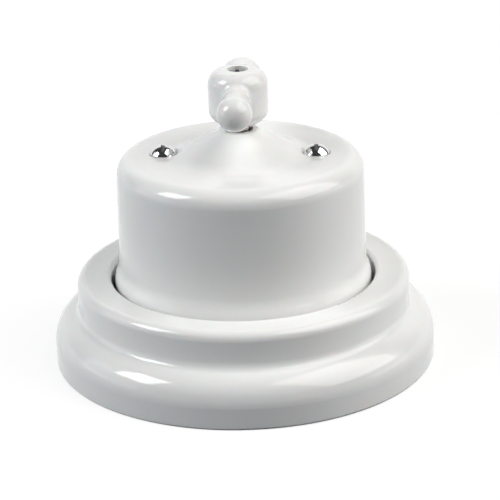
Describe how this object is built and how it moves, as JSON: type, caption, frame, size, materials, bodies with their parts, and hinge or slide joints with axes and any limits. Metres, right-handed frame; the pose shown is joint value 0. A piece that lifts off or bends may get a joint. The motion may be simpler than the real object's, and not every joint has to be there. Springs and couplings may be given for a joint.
{
  "type": "rotary light switch",
  "caption": "Round porcelain rotary light switch: domed cover with a lever knob on a moulded porcelain frame, turning in quarter-turn steps over a brass contact mechanism.",
  "frame": {"origin": "centre of the frame's back, in the plane of the wall", "axes": "+Z away from the wall along the spindle, +X through the cover screws, +Y along the lever at rest"},
  "size_m": [0.1, 0.1, 0.0772],
  "materials": {
    "porcelain": "glossy white glaze",
    "chrome": "polished plating",
    "brass": "bright turned and stamped",
    "silver": "silver contact face",
    "zinc_steel": "zinc plated",
    "spring_steel": "blued spring strip",
    "bakelite": "moulded dark brown"
  },
  "bodies": {
    "housing": {"ceramic_frame": "porcelain", "ceramic_base": "porcelain", "ceramic_cover": "porcelain", "cover_screw_left": "chrome", "cover_screw_right": "chrome", "cover_pillar_left": "brass", "cover_pillar_right": "brass", "terminal_1": "brass", "terminal_2": "brass", "terminal_3": "brass", "terminal_4": "brass", "bearing_bridge": "zinc_steel", "pillar_screw_left": "zinc_steel", "pillar_screw_right": "zinc_steel", "terminal_screw_1": "zinc_steel", "terminal_screw_2": "zinc_steel", "terminal_screw_3": "zinc_steel", "terminal_screw_4": "zinc_steel", "clamp_washer_1": "zinc_steel", "clamp_washer_2": "zinc_steel", "clamp_washer_3": "zinc_steel", "clamp_washer_4": "zinc_steel", "terminal_nut_1": "zinc_steel", "terminal_nut_2": "zinc_steel", "terminal_nut_3": "zinc_steel", "terminal_nut_4": "zinc_steel", "detent_spring_front": "spring_steel", "detent_spring_back": "spring_steel"},
    "knob": {"ceramic_knob": "porcelain", "knob_screw": "chrome", "switch_spindle": "brass", "spindle_clip": "spring_steel", "rotor": "bakelite", "moving_contact": "brass", "contact_rivet_1": "silver", "contact_rivet_2": "silver", "detent_cam": "zinc_steel"}
  },
  "joints": [
    {"name": "knob_turn", "type": "hinge", "parent": "housing", "child": "knob", "pos_m": [0, 0, 0.07], "axis": [0, 0, 1], "continuous": true, "deforming": ["detent_spring_front", "detent_spring_back"]}
  ]
}
